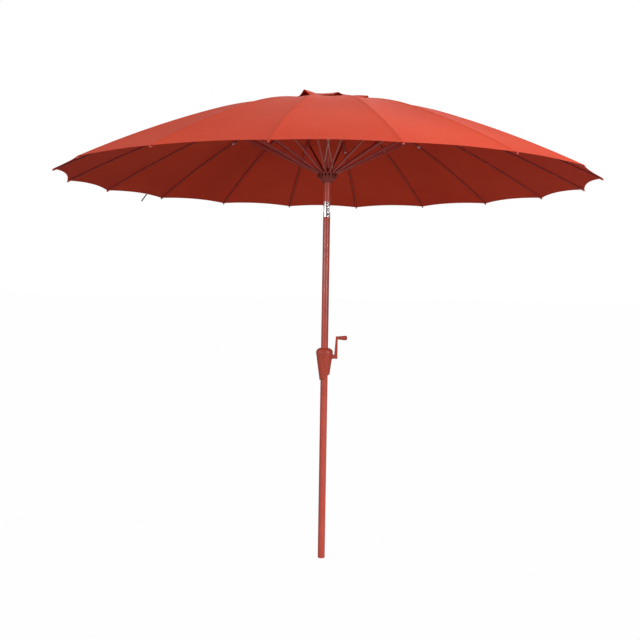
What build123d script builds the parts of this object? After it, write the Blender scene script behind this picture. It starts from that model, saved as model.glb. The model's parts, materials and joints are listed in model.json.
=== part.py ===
from build123d import *
import os
from math import asin, atan2, cos, degrees, hypot, radians, sin, sqrt

# Patio umbrella with eighteen ribs, a crank and a tilting head, in millimetres.
# The origin is the bottom centre of the pole, +Z is up, the crank points along +X,
# and the head tilts towards +X.

# --- pole ---
POLE_R = 19.0
POLE_WALL = 1.5
POLE_BORE_R = POLE_R - POLE_WALL
MAST_R = 18.7
LOWER_POLE_TOP = 964.0
MIDDLE_POLE_TOP = 1823.0
UPPER_POLE_BOTTOM = 1903.0
UPPER_POLE_TOP = 2394.0

# --- canopy dome: two tangent arcs in every rib's plane ---
RIB_COUNT = 18
RIB_STEP = 360 / RIB_COUNT
FIRST_RIB_ANGLE = -78.8
RIM_HEIGHT = 1990.0
RIM_RADIUS = 1350.0
DOME_RISE = 413.5
INNER_ARC = 1994.0
BEND_RADIUS = 681.0
VENT_RADIUS = 130.0
FABRIC = 0.8
SCALLOP_DEPTH = 22.0
SCALLOP_HALF_WIDTH = 228.0

BEND_SLOPE = asin(BEND_RADIUS / INNER_ARC)
INNER_CENTRE = (0.0, RIM_HEIGHT + DOME_RISE - INNER_ARC)
BEND_HEIGHT = INNER_CENTRE[1] + INNER_ARC * cos(BEND_SLOPE)
OUTER_RUN = RIM_RADIUS - BEND_RADIUS
OUTER_DROP = BEND_HEIGHT - RIM_HEIGHT
OUTER_ARC = (OUTER_RUN**2 + OUTER_DROP**2) / (
    2 * (OUTER_DROP * cos(BEND_SLOPE) - OUTER_RUN * sin(BEND_SLOPE))
)
OUTER_CENTRE = (
    BEND_RADIUS - OUTER_ARC * sin(BEND_SLOPE),
    BEND_HEIGHT - OUTER_ARC * cos(BEND_SLOPE),
)

# --- ribs and struts ---
RIB_DEPTH = 7.0
RIB_R = 4.6
RIB_OUTER_R = 3.2
RIB_END_DEPTH = 5.4
RIB_PIVOT_R = 38.0
RIB_EYE_R = 5.0
RIB_BLADE = 5.0
ROD_START = 72.0
FERRULE_AT = 700.0
FERRULE_R = 6.0
STRUT_JOINT_AT = 590.0
STRUT_JOINT_DROP = 12.0
LUG = 5.0
LUG_R = 6.0
RIVET_R = 2.5
TIP_CAP_R = 4.2
TIP_CAP_OUT = 9.0
STRUT_WIDTH = 9.0
STRUT_HEIGHT = 9.0
STRUT_WALL = 1.2
FORK_OPENING = 15.0
RUNNER_PIVOT_R = 48.0
RUNNER_PIVOT_Z = 2050.0
RUN_CLEARANCE = 0.05

# --- hub, runner and finial ---
HUB_R = 44.0
HUB_BOTTOM = 2382.0
HUB_TOP = 2404.0
HUB_SLOT = 6.2
HUB_SLOT_FLOOR = 31.0
RING_WIRE_R = 1.5
RUNNER_BORE_R = 20.3
RUNNER_R = 26.0
RUNNER_CROWN_R = 53.0
RUNNER_BOTTOM = 2000.0
RUNNER_TOP = 2074.0
RUNNER_CROWN_TOP = 2062.0
RUNNER_SLOT = 9.8
RUNNER_SLOT_FLOOR = 41.5
FINIAL_STEM_R = 6.0
FINIAL_R = 24.0
FINIAL_RISE = 24.0

# --- top pulley and cord ---
PULLEY_Z = 2346.0
PULLEY_R = 13.0
PULLEY_AXLE_R = 3.0
CORD_R = 1.2
CORD_GAP = 0.7

# --- vent cap ---
CAP_CENTRE_Z = 2434.0
CAP_CORNERS = 9
CAP_CORNER_R = 252.0
CAP_HOLE_R = 7.0
CAP_PEAKS = [12.0, 18.0, 16.0, 14.0, 18.0, 13.0, 17.0, 15.0, 30.0]
CAP_PEAK_HALF_ANGLE = 5.5
CAP_PEAK_FOOT = 0.22
CAP_EDGE_GAP = 9.0
CAP_ROWS = (0.35, 0.6, 0.8)

# --- tie strap ---
STRAP_ANGLE = 148.2
STRAP_ROOT = (1304.0, 1994.0)
STRAP_LENGTH = 61.0
STRAP_WIDTH = 10.0
STRAP_THICK = 1.4
STRAP_LEAN = 47.0

# --- crank ---
SHAFT_Z = 1088.0
SHAFT_R = 5.0
ARM_LENGTH = 100.0
ARM_IN_X = 51.0
ARM_OUT_X = 69.0
KNOB_LENGTH = 50.0
HOUSING_WALL = 2.5
HOUSING_SECTIONS = [(958.0, 23.5, 23.0), (1110.0, 45.0, 37.0)]
HOUSING_CROWN = [(1110.0, 45.0, 37.0), (1123.0, 40.5, 33.0), (1134.0, 23.0, 22.0)]
HOUSING_CUT_Z = 977.0
HOUSING_CUT_ANGLE = 31.0
BOSS_R = 12.0
BOSS_END_X = 50.0
SCREW_PLACES = [(-34.0, 1104.0), (27.0, 1040.0), (-27.0, 1040.0), (34.5, 1112.0)]
SCREW_R = 1.5
SCREW_HEAD_R = 3.0
RATCHET_TEETH = 12
RATCHET_R = 12.0
RATCHET_ROOT_R = 9.5
RATCHET_X = -25.0
RATCHET_WIDTH = 4.0
PAWL_PIVOT = (RATCHET_X, 0.0, SHAFT_Z - 24.0)
PAWL_AXLE_R = 2.0

# --- tilt joint ---
TILT_Z = 1863.0
KNUCKLE_R = 18.6
KNUCKLE_SHOULDER = 16.0
EYE_R = 14.0
TONGUE_HALF = 8.6
EAR_GAP_HALF = 8.9
PIN_R = 4.0
BUTTON_R = 5.0
BUTTON_Z = 1835.0
BUTTON_ANGLE = -65.0


def dome_point(rho, depth):
    """Point at radius rho, a depth under the cloth's outer face, in a rib's plane."""
    radius = INNER_ARC - depth
    if rho <= radius * sin(BEND_SLOPE):
        return rho, INNER_CENTRE[1] + sqrt(radius**2 - rho**2)
    radius = OUTER_ARC - depth
    across = rho - OUTER_CENTRE[0]
    return rho, OUTER_CENTRE[1] + sqrt(radius**2 - across**2)


def dome_slope(rho, depth):
    """Angle below level of the dome's tangent at radius rho, in degrees."""
    radius = INNER_ARC - depth
    if rho <= radius * sin(BEND_SLOPE):
        return degrees(asin(rho / radius))
    return degrees(asin((rho - OUTER_CENTRE[0]) / (OUTER_ARC - depth)))


def dome_arc(rho_from, rho_to, depth):
    """Arc of the dome between two radii that lie on the same side of the bend."""
    ends = [dome_point(r, depth) for r in (rho_from, (rho_from + rho_to) / 2, rho_to)]
    return Edge.make_three_point_arc(*[(x, 0, z) for x, z in ends])


def bend_at(depth):
    """Radius where the two arcs meet, at a depth under the outer face."""
    return (INNER_ARC - depth) * sin(BEND_SLOPE)


RIB_PIVOT = dome_point(RIB_PIVOT_R, RIB_DEPTH)
STRUT_JOINT = dome_point(STRUT_JOINT_AT, RIB_DEPTH + STRUT_JOINT_DROP)
RIB_ANGLES = [FIRST_RIB_ANGLE + RIB_STEP * i for i in range(RIB_COUNT)]
STRUT_RUN = STRUT_JOINT[0] - RUNNER_PIVOT_R
STRUT_RISE = STRUT_JOINT[1] - RUNNER_PIVOT_Z
STRUT_LENGTH = hypot(STRUT_RUN, STRUT_RISE)
STRUT_TILT = degrees(atan2(STRUT_RISE, STRUT_RUN))


def tube(radius, bore, bottom, top):
    """Upright round tube on the pole's axis."""
    height = top - bottom
    low = Align.MIN
    outer = Cylinder(radius, height, align=(Align.CENTER, Align.CENTER, low))
    inner = Cylinder(bore, height, align=(Align.CENTER, Align.CENTER, low))
    return Pos(0, 0, bottom) * (outer - inner)


def rod(radius, start, end):
    """Straight round rod between two points."""
    line = Edge.make_line(start, end)
    plane = Plane(origin=start, z_dir=line % 0)
    return extrude(plane * Circle(radius), line.length)


def in_rib_plane(sketch, thickness):
    """Plate of a thickness, centred on a rib's plane, from a sketch drawn in (radius, height)."""
    plane = Plane(origin=(0, 0, 0), x_dir=(1, 0, 0), z_dir=(0, -1, 0))
    return extrude(plane * sketch, thickness / 2, both=True)


def turned(part, angle):
    """Copy of a part turned about the pole's axis."""
    return part.rotate(Axis.Z, angle)


def export(name, *solids):
    """Write one named sub-part."""
    shape = solids[0] if len(solids) == 1 else Compound(children=list(solids))
    export_step(shape, f"parts/{name}.step")


# ---------------------------------------------------------------- pole


def lower_pole():
    return tube(POLE_R, POLE_BORE_R, 0, LOWER_POLE_TOP)


def foot_plug():
    """Moulded cup pushed into the bottom of the lower pole."""
    radius = POLE_BORE_R - RUN_CLEARANCE
    low = (Align.CENTER, Align.CENTER, Align.MIN)
    cup = Cylinder(radius, 22, align=low) - Pos(0, 0, 4) * Cylinder(radius - 2.5, 22, align=low)
    ribs = Pos(0, 0, 4) * Box(2 * radius - 4, 2, 14, align=low)
    return cup + ribs


def pole_coupler():
    """Sleeve inside both poles that joins them under the crank."""
    outer = POLE_BORE_R - RUN_CLEARANCE
    return tube(outer, outer - 1.95, LOWER_POLE_TOP - 90, LOWER_POLE_TOP + 60)


def middle_pole():
    pole = tube(MAST_R, POLE_BORE_R, LOWER_POLE_TOP, MIDDLE_POLE_TOP)
    return pole - Pos(0, 0, SHAFT_Z) * Rot(0, 90, 0) * Cylinder(SHAFT_R + 1.5, 60)


def upper_pole():
    pole = tube(MAST_R, POLE_BORE_R, UPPER_POLE_BOTTOM, UPPER_POLE_TOP)
    axle_hole = Cylinder(PULLEY_AXLE_R + RUN_CLEARANCE, 60)
    return pole - Pos(0, 0, PULLEY_Z) * Rot(0, 90, 0) * axle_hole


# ---------------------------------------------------------------- crank

def ellipse_at(height, half_x, half_y):
    return Pos(0, 0, height) * Ellipse(half_x, half_y)


def housing_block(shrink):
    """Tapered casing with a rounded shoulder, as a solid block, shrunk on every side."""
    cone = [ellipse_at(z, a - shrink, b - shrink) for z, a, b in HOUSING_SECTIONS]
    crown = [ellipse_at(z - shrink * (z > 1110), a - shrink, b - shrink) for z, a, b in HOUSING_CROWN]
    return loft(cone, ruled=True) + loft(crown)


def along_x(radius, start, end, z):
    """Round bar along X at a height."""
    return rod(radius, (start, 0, z), (end, 0, z))


def housing_bosses():
    """Bosses inside the casing for the shaft, the pawl's axle, the screws and the pole."""
    shaft_boss = along_x(9, -40, -28, SHAFT_Z)
    pawl_boss = along_x(4.5, -40, -31, PAWL_PIVOT[2])
    posts = [Pos(x, 0, z) * Rot(90, 0, 0) * Cylinder(4.2, 66) for x, z in SCREW_PLACES]
    collars = Pos(0, 0, 1128) * Cylinder(30, 6) + Pos(0, 0, 1000) * Cylinder(30, 24)
    return [shaft_boss, pawl_boss, collars, *posts]


def housing_shell():
    """Hollow casing with the shaft's boss, cut open along the pole and under the crank."""
    boss = along_x(BOSS_R, 20, BOSS_END_X, SHAFT_Z)
    flare = Pos(35, 0, SHAFT_Z) * Rot(0, 90, 0) * Cone(20, BOSS_R, 14)
    outside = housing_block(0)
    cavity = housing_block(HOUSING_WALL)
    inside = [outside & piece for piece in housing_bosses()]
    shell = (outside - cavity).fuse(boss, flare - cavity, *inside)
    shell -= Cylinder(POLE_R + 0.1, 4000)
    shell -= along_x(SHAFT_R + RUN_CLEARANCE, -45, 65, SHAFT_Z)
    shell -= along_x(PAWL_AXLE_R + RUN_CLEARANCE, -36.2, -25, PAWL_PIVOT[2])
    lean = radians(HOUSING_CUT_ANGLE)
    slope = Plane(
        origin=(0, 0, HOUSING_CUT_Z), x_dir=(cos(lean), 0, sin(lean)), z_dir=(-sin(lean), 0, cos(lean))
    )
    shell -= extrude(slope * Rectangle(160, 160), -80)
    for x, z in SCREW_PLACES:
        shell -= Pos(x, 0, z) * Rot(90, 0, 0) * Cylinder(SCREW_R + RUN_CLEARANCE, 60)
        shell -= Pos(x, 46, z) * Rot(90, 0, 0) * Cylinder(SCREW_HEAD_R + 0.1, 40)
    return shell


def housing_half(shell, side):
    """Front half (side -1) or back half (side 1) of the casing."""
    block = Pos(0, side * 50, SHAFT_Z) * Box(200, 100, 400)
    return shell & block


def housing_screws():
    """Pan head screws that go in from the back."""
    screws = []
    for x, z in SCREW_PLACES:
        shank = rod(SCREW_R, (x, -20, z), (x, 26, z))
        head = rod(SCREW_HEAD_R, (x, 26, z), (x, 28.2, z))
        slot = Pos(x, 28.2, z) * Box(4, 1.4, 0.8)
        screws.append(shank + head - slot)
    return screws


def crank_spool():
    """Shaft with the cord drum inside the pole and the ratchet wheel outside it."""
    shaft = along_x(SHAFT_R, -39, ARM_OUT_X - 4, SHAFT_Z)
    drum = along_x(8, -12, 12, SHAFT_Z)
    cheeks = along_x(12, -12, -9.5, SHAFT_Z) + along_x(12, 9.5, 12, SHAFT_Z)
    return shaft + drum + cheeks + ratchet_wheel()


def ratchet_wheel():
    """Saw-toothed wheel on the shaft."""
    points = []
    for tooth in range(RATCHET_TEETH):
        angle = radians(360 / RATCHET_TEETH * tooth)
        points.append((RATCHET_ROOT_R * cos(angle), RATCHET_ROOT_R * sin(angle)))
        points.append((RATCHET_R * cos(angle), RATCHET_R * sin(angle)))
    plane = Plane(origin=(RATCHET_X, 0, SHAFT_Z), x_dir=(0, 1, 0), z_dir=(1, 0, 0))
    outline = make_face(Polyline(*points, close=True))
    return extrude(plane * outline, RATCHET_WIDTH / 2, both=True)


def pawl():
    """Small lever under the ratchet wheel, lifted clear of it, on its own stub axle."""
    x, y, z = PAWL_PIVOT
    axle = along_x(PAWL_AXLE_R, x - 11, x + 5, z)
    plane = Plane(origin=(x, y, z), x_dir=(0, 1, 0), z_dir=(1, 0, 0))
    nose = Polyline((3, -3), (13, 6), (14.5, 11.4), (11.5, 12.2), (-3, 3), close=True)
    lever = extrude(plane * make_face(nose), 1.5, both=True)
    boss = along_x(4.2, x - 1.5, x + 1.5, z)
    return axle + lever + boss


def crank_arm():
    """Tapered arm clamped on the shaft's end, with the knob's pin."""
    top = SHAFT_Z + ARM_LENGTH
    corners = [(ARM_IN_X, SHAFT_Z), (ARM_OUT_X, SHAFT_Z), (ARM_OUT_X, top), (ARM_OUT_X - 10.5, top)]
    side = Polyline(*corners, close=True)
    plane = Plane(origin=(0, 0, 0), x_dir=(1, 0, 0), z_dir=(0, -1, 0))
    bar = extrude(plane * make_face(side), 7, both=True)
    hub = along_x(11.5, ARM_IN_X, ARM_OUT_X, SHAFT_Z)
    end = along_x(8.5, ARM_OUT_X - 10.5, ARM_OUT_X, top)
    arm = bar + hub + end
    arm -= along_x(SHAFT_R, ARM_IN_X - 5, ARM_OUT_X - 4, SHAFT_Z)
    pin = along_x(4, ARM_OUT_X - 0.5, ARM_OUT_X + KNOB_LENGTH - 12, top)
    return arm + pin


def crank_knob():
    """Tapered grip with a domed end that spins on the arm's pin."""
    start = ARM_OUT_X + 0.5
    end = ARM_OUT_X + KNOB_LENGTH
    side = Polyline((end, 3), (end, 0), (start, 0), (start, 7.5), (start + 2, 8.5), (end - 8, 12.5))
    dome = ThreePointArc((end - 8, 12.5), (end - 2.4, 9.3), (end, 3))
    grip = revolve(make_face([*side.edges(), dome]), Axis.X)
    grip -= along_x(4 + RUN_CLEARANCE, start - 1, end - 11, 0)
    return Pos(0, 0, SHAFT_Z + ARM_LENGTH) * grip


# ---------------------------------------------------------------- tilt joint


def knuckle_plate(sketch, y_from, y_to):
    """Plate square to the hinge pin between two values of Y, from a sketch in (x, z)."""
    plane = Plane(origin=(0, y_from, 0), x_dir=(1, 0, 0), z_dir=(0, -1, 0))
    return extrude(plane * sketch, y_from - y_to)


def knuckle_eye(root):
    """Round eye on the tilt axis with a neck down or up to a root height."""
    neck = Pos(0, (TILT_Z + root) / 2) * Rectangle(2 * EYE_R, KNUCKLE_SHOULDER)
    return Pos(0, TILT_Z) * Circle(EYE_R) + neck


def tilt_socket():
    """Lower knuckle: a plug in the middle pole and two ears, square on the -X side."""
    floor = TILT_Z - KNUCKLE_SHOULDER
    low = (Align.CENTER, Align.CENTER, Align.MIN)
    body = Pos(0, 0, MIDDLE_POLE_TOP) * Cylinder(KNUCKLE_R, floor - MIDDLE_POLE_TOP, align=low)
    plug_r = POLE_BORE_R - RUN_CLEARANCE
    plug = Pos(0, 0, MIDDLE_POLE_TOP - 30) * Cylinder(plug_r, 30, align=low)
    stop = Pos(-KNUCKLE_R / 2, TILT_Z - 0.75) * Rectangle(KNUCKLE_R, 2 * KNUCKLE_SHOULDER - 1.5)
    ear = knuckle_eye(floor) + stop
    ears = knuckle_plate(ear, -EAR_GAP_HALF, -KNUCKLE_R) + knuckle_plate(ear, KNUCKLE_R, EAR_GAP_HALF)
    ears &= Pos(0, 0, TILT_Z) * Cylinder(KNUCKLE_R, 80)
    socket = body + plug + ears
    socket -= rod(PIN_R, (0, -30, TILT_Z), (0, 30, TILT_Z))
    socket -= button_rod(BUTTON_R + RUN_CLEARANCE, 5.0, 30.0)
    return socket


def button_rod(radius, inner, outer):
    """Rod along the button's axis, between two distances from the pole's axis."""
    across, along = cos(radians(BUTTON_ANGLE)), sin(radians(BUTTON_ANGLE))
    return rod(radius, (inner * across, inner * along, BUTTON_Z), (outer * across, outer * along, BUTTON_Z))


def tilt_button():
    """Push button in the lower knuckle."""
    return fillet(button_rod(BUTTON_R, 10.0, KNUCKLE_R + 1.0).edges().group_by(Axis.Y)[0], 0.6)


def tilt_pin():
    """Headed pin through both knuckles."""
    pin = rod(PIN_R, (0, -17.5, TILT_Z), (0, 17.5, TILT_Z))
    return chamfer(pin.edges().filter_by(GeomType.CIRCLE), 0.5)


def tilt_swivel():
    """Upper knuckle: a tongue between the ears and a plug in the upper pole."""
    shoulder = TILT_Z + KNUCKLE_SHOULDER
    low = (Align.CENTER, Align.CENTER, Align.MIN)
    body = Pos(0, 0, shoulder) * Cylinder(KNUCKLE_R, UPPER_POLE_BOTTOM - shoulder, align=low)
    plug_r = POLE_BORE_R - RUN_CLEARANCE
    plug = Pos(0, 0, UPPER_POLE_BOTTOM) * Cylinder(plug_r, 28, align=low)
    tongue = knuckle_plate(knuckle_eye(shoulder), TONGUE_HALF, -TONGUE_HALF)
    swivel = body + plug + tongue
    return swivel - rod(PIN_R + RUN_CLEARANCE, (0, -30, TILT_Z), (0, 30, TILT_Z))


# ---------------------------------------------------------------- hub, pulley and runner

def slots(width, floor, outer, bottom, top):
    """Radial slots, one for each rib."""
    cuts = []
    for angle in RIB_ANGLES:
        cut = Pos((floor + outer) / 2, 0, (bottom + top) / 2) * Box(outer - floor, width, top - bottom)
        cuts.append(turned(cut, angle))
    return cuts


def top_hub():
    """Slotted hub on the pole's top, with the ring wire that the ribs hinge on."""
    low = (Align.CENTER, Align.CENTER, Align.MIN)
    hub = Pos(0, 0, HUB_BOTTOM) * Cylinder(HUB_R, HUB_TOP - HUB_BOTTOM, align=low)
    collar = Pos(0, 0, HUB_BOTTOM - 18) * Cylinder(25, 18, align=low)
    hub = fillet(hub.edges().sort_by(Axis.Z)[-1], 3) + collar
    bore_depth = UPPER_POLE_TOP - HUB_BOTTOM + 30
    hub -= Pos(0, 0, HUB_BOTTOM - 30) * Cylinder(MAST_R + RUN_CLEARANCE, bore_depth, align=low)
    hub -= Pos(0, 0, UPPER_POLE_TOP) * Cylinder(FINIAL_STEM_R + RUN_CLEARANCE, 60)
    for cut in slots(HUB_SLOT, HUB_SLOT_FLOOR, HUB_R + 10, HUB_BOTTOM - 30, HUB_TOP + 10):
        hub -= cut
    ring = Pos(0, 0, RIB_PIVOT[1]) * Torus(RIB_PIVOT_R, RING_WIRE_R)
    hub -= Pos(0, 0, RIB_PIVOT[1]) * Torus(RIB_PIVOT_R, RING_WIRE_R + RUN_CLEARANCE)
    return hub, ring


def top_pulley():
    """Grooved wheel inside the pole's top that turns the lifting cord back down."""
    groove = 2.2
    half = 5.0
    outline = Polyline(
        (-half, 0), (-half, PULLEY_R), (-half + 1, PULLEY_R), (-1, PULLEY_R - groove),
        (1, PULLEY_R - groove), (half - 1, PULLEY_R), (half, PULLEY_R), (half, 0), close=True
    )
    wheel = revolve(make_face(outline), Axis.X)
    axle = Rot(0, 90, 0) * Cylinder(PULLEY_AXLE_R, 2 * MAST_R - 1)
    return Pos(0, 0, PULLEY_Z) * (wheel + axle)


def runner():
    """Sliding crown that the struts push on, slotted right through for them."""
    crown = RUNNER_CROWN_R
    skirt = [(RUNNER_BORE_R, RUNNER_BOTTOM), (RUNNER_R - 1, RUNNER_BOTTOM), (RUNNER_R, RUNNER_BOTTOM + 5)]
    rim = [(crown, 2034), (crown, 2056), (crown - 6, RUNNER_CROWN_TOP)]
    neck = [(RUNNER_R + 1, RUNNER_CROWN_TOP), (RUNNER_R - 1, RUNNER_TOP), (RUNNER_BORE_R, RUNNER_TOP)]
    plane = Plane(origin=(0, 0, 0), x_dir=(1, 0, 0), z_dir=(0, -1, 0))
    body = revolve(plane * make_face(Polyline(*skirt, *rim, *neck, close=True)), Axis.Z)
    for cut in slots(RUNNER_SLOT, RUNNER_SLOT_FLOOR, crown + 10, RUNNER_BOTTOM - 5, RUNNER_TOP + 5):
        body -= cut
    return body


def finial():
    """Low screwed knob that clamps the vent cap on the hub."""
    base = CAP_CENTRE_Z + 1.2
    top = base + FINIAL_RISE
    stem = rod(FINIAL_STEM_R, (0, 0, UPPER_POLE_TOP + 2), (0, 0, base))
    washer = rod(14, (0, 0, HUB_TOP), (0, 0, HUB_TOP + 3))
    spacer = rod(9, (0, 0, HUB_TOP), (0, 0, CAP_CENTRE_Z - 1.4))
    side = Polyline((3, top), (0, top), (0, base), (FINIAL_R, base), (FINIAL_R, base + 5))
    dome = ThreePointArc((FINIAL_R, base + 5), (FINIAL_R - 8, base + 17), (3, top))
    plane = Plane(origin=(0, 0, 0), x_dir=(1, 0, 0), z_dir=(0, -1, 0))
    knob = revolve(plane * make_face([*side.edges(), dome]), Axis.Z)
    return stem + washer + spacer + knob


def pull_cord():
    """Two cord strands that cross between the hub and the runner, held tight at both ends."""
    top = HUB_BOTTOM - CORD_GAP
    bottom = RUNNER_CROWN_TOP + CORD_GAP
    right = rod(CORD_R, (35.0, -19.3, top), (-23.0, -31.0, bottom))
    left = rod(CORD_R, (-34.2, -20.7, top), (30.0, -24.0, bottom))
    return right, left


# ---------------------------------------------------------------- ribs and struts


def rib():
    """Two-stage rod on the dome's arcs, with a hinge blade, a strut lug, a ferrule and a tip cap."""
    bend = bend_at(RIB_DEPTH)
    inner_path = Wire([dome_arc(ROD_START, bend, RIB_DEPTH), dome_arc(bend, FERRULE_AT, RIB_DEPTH)])
    outer_path = outer_rod_arc()
    inner = sweep(Plane(origin=inner_path @ 0, z_dir=inner_path % 0) * Circle(RIB_R), inner_path)
    outer = sweep(Plane(origin=outer_path @ 0, z_dir=outer_path % 0) * Circle(RIB_OUTER_R), outer_path)
    sleeve = dome_arc(FERRULE_AT - 8, FERRULE_AT + 8, RIB_DEPTH)
    ferrule = rod(FERRULE_R, sleeve @ 0, sleeve @ 1)
    metal = inner + outer + ferrule + rib_blade() + strut_lug()
    metal -= Pos(RIB_PIVOT[0], 0, RIB_PIVOT[1]) * Rot(90, 0, 0) * Cylinder(RING_WIRE_R + 0.5, 40)
    metal -= Pos(STRUT_JOINT[0], 0, STRUT_JOINT[1]) * Rot(90, 0, 0) * Cylinder(RIVET_R + RUN_CLEARANCE, 40)
    return metal, tip_cap(outer_path)


def outer_rod_arc():
    """Middle line of the outer rod, which comes nearer to the cloth towards the rim."""
    places = ((FERRULE_AT, 0.0), ((FERRULE_AT + RIM_RADIUS - 4) / 2, 0.5), (RIM_RADIUS - 4, 1.0))
    ends = [dome_point(rho, RIB_DEPTH + (RIB_END_DEPTH - RIB_DEPTH) * share) for rho, share in places]
    return Edge.make_three_point_arc(*[(x, 0, z) for x, z in ends])


def rib_blade():
    """Flat root of a rib, with the eye that turns on the hub's ring wire."""
    start = RIB_PIVOT
    end = dome_point(ROD_START + 14, RIB_DEPTH)
    length = hypot(end[0] - start[0], end[1] - start[1])
    angle = degrees(atan2(end[1] - start[1], end[0] - start[0]))
    bar = Rot(0, 0, angle) * Pos(length / 2, 0) * Rectangle(length, 2 * RIB_EYE_R)
    return in_rib_plane(Pos(*start) * (bar + Circle(RIB_EYE_R)), RIB_BLADE)


def strut_lug():
    """Plate under the rod that the strut's fork is riveted to."""
    slope = -dome_slope(STRUT_JOINT_AT, RIB_DEPTH)
    half = LUG_R + 2
    rise = STRUT_JOINT_DROP - 1
    web = Polyline((-LUG_R, 0), (-half, rise), (half, rise), (LUG_R, 0), close=True)
    sketch = Circle(LUG_R) + make_face(web)
    return in_rib_plane(Pos(*STRUT_JOINT) * Rot(0, 0, slope) * sketch, LUG)


def tip_cap(path):
    """Moulded cap on the rod's end that holds the cloth's corner."""
    start = path @ 1 - (path % 1) * 12
    end = path @ 1 + (path % 1) * TIP_CAP_OUT
    cap = rod(TIP_CAP_R, start, end)
    cap = fillet(cap.edges().group_by(Axis.X)[-1], 3)
    return cap - rod(RIB_OUTER_R + RUN_CLEARANCE, start - (path % 1), path @ 1 + (path % 1) * 0.1)


def strut():
    """Channel open to the top, forked at the rib and tongued at the runner, with its rivet."""
    end_r = STRUT_HEIGHT / 2
    side = SlotCenterToCenter(STRUT_LENGTH, STRUT_HEIGHT)
    bar = in_rib_plane(side, STRUT_WIDTH)
    inner_width = STRUT_WIDTH - 2 * STRUT_WALL
    hollow_from = -STRUT_LENGTH / 2 + 30
    hollow_to = STRUT_LENGTH / 2 - FORK_OPENING
    middle = (hollow_from + hollow_to) / 2
    hollow = Pos(middle, 0, STRUT_WALL) * Box(hollow_to - hollow_from, inner_width, STRUT_HEIGHT)
    fork = Pos(STRUT_LENGTH / 2 - FORK_OPENING / 2 + end_r, 0, 0) * Box(
        FORK_OPENING + 2 * end_r, inner_width, 2 * STRUT_HEIGHT
    )
    bar = bar - hollow - fork
    bar -= Pos(STRUT_LENGTH / 2, 0, 0) * Rot(90, 0, 0) * Cylinder(RIVET_R, 40)
    bar -= Pos(-STRUT_LENGTH / 2, 0, 0) * Rot(90, 0, 0) * Cylinder(RIVET_R, 40)
    shank = Pos(STRUT_LENGTH / 2, 0, 0) * Rot(90, 0, 0) * Cylinder(RIVET_R, STRUT_WIDTH)
    heads = [
        Pos(STRUT_LENGTH / 2, side_y * (STRUT_WIDTH / 2 + 0.6), 0) * Rot(90, 0, 0) * Cylinder(3.6, 1.2)
        for side_y in (-1, 1)
    ]
    rivet = shank + heads[0] + heads[1]
    middle_x = RUNNER_PIVOT_R + STRUT_RUN / 2
    middle_z = RUNNER_PIVOT_Z + STRUT_RISE / 2
    place = Pos(middle_x, 0, middle_z) * Rot(0, -STRUT_TILT, 0)
    return place * bar, place * rivet


# ---------------------------------------------------------------- cloth


def canopy_gore(angle):
    """One panel: a ruled loft between the dome's section in two neighbouring rib planes."""
    bend = bend_at(0)
    inner_bend = bend_at(FABRIC)
    outline = [
        dome_arc(VENT_RADIUS, bend, 0),
        dome_arc(bend, RIM_RADIUS, 0),
        Edge.make_line(edge_point(RIM_RADIUS, 0), edge_point(RIM_RADIUS, FABRIC)),
        dome_arc(inner_bend, RIM_RADIUS, FABRIC),
        dome_arc(VENT_RADIUS, inner_bend, FABRIC),
        Edge.make_line(edge_point(VENT_RADIUS, 0), edge_point(VENT_RADIUS, FABRIC)),
    ]
    section = Face(Wire(outline))
    return loft([turned(section, angle), turned(section, angle + RIB_STEP)], ruled=True)


def edge_point(rho, depth):
    x, z = dome_point(rho, depth)
    return x, 0, z


def scallop(angle):
    """Upright cylinder that hollows a panel's rim between two ribs."""
    radius = (SCALLOP_HALF_WIDTH**2 + SCALLOP_DEPTH**2) / (2 * SCALLOP_DEPTH)
    chord = RIM_RADIUS * cos(radians(RIB_STEP / 2))
    centre = chord + radius - SCALLOP_DEPTH
    cutter = Pos(centre, 0, RIM_HEIGHT) * Cylinder(radius, 200)
    return turned(cutter, angle + RIB_STEP / 2)


def canopy():
    """Eighteen panels that meet along the ribs, open at the vent, with a hollowed rim."""
    return [(canopy_gore(angle) - scallop(angle)).solid() for angle in RIB_ANGLES]


def cap_row():
    """Angle, radius and height of the points round the vent cap's edge."""
    step = 360 / CAP_CORNERS
    row = []
    for corner, (lift, after) in enumerate(zip(CAP_PEAKS, CAP_PEAKS[1:] + CAP_PEAKS[:1])):
        angle = FIRST_RIB_ANGLE + step * corner
        for offset, radius, rise in (
            (0, CAP_CORNER_R, CAP_EDGE_GAP + lift),
            (CAP_PEAK_HALF_ANGLE, CAP_CORNER_R - 6, CAP_EDGE_GAP + CAP_PEAK_FOOT * lift),
            (step / 2, CAP_CORNER_R - 18, CAP_EDGE_GAP),
            (step - CAP_PEAK_HALF_ANGLE, CAP_CORNER_R - 6, CAP_EDGE_GAP + CAP_PEAK_FOOT * after),
        ):
            row.append((angle + offset, radius, dome_point(radius, 0)[1] + rise))
    return row


def vent_cap():
    """Second layer over the vent: a low dome with nine lifted corners, steeper towards its edge."""
    edge = cap_row()
    rows = [[(a, CAP_HOLE_R, CAP_CENTRE_Z) for a, r, z in edge]]
    for share in CAP_ROWS:
        rows.append([(a, share * r, CAP_CENTRE_Z + (z - CAP_CENTRE_Z) * share**3) for a, r, z in edge])
    rows.append(edge)
    top = [[Vector(r * cos(radians(a)), r * sin(radians(a)), z) for a, r, z in row] for row in rows]
    low = [[point - Vector(0, 0, FABRIC) for point in row] for row in top]
    faces = []
    for i in range(len(rows) - 1):
        faces += band_faces(top[i], top[i + 1]) + band_faces(low[i + 1], low[i])
    faces += band_faces(top[-1], low[-1]) + band_faces(low[0], top[0])
    return Solid(Shell(faces))


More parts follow.
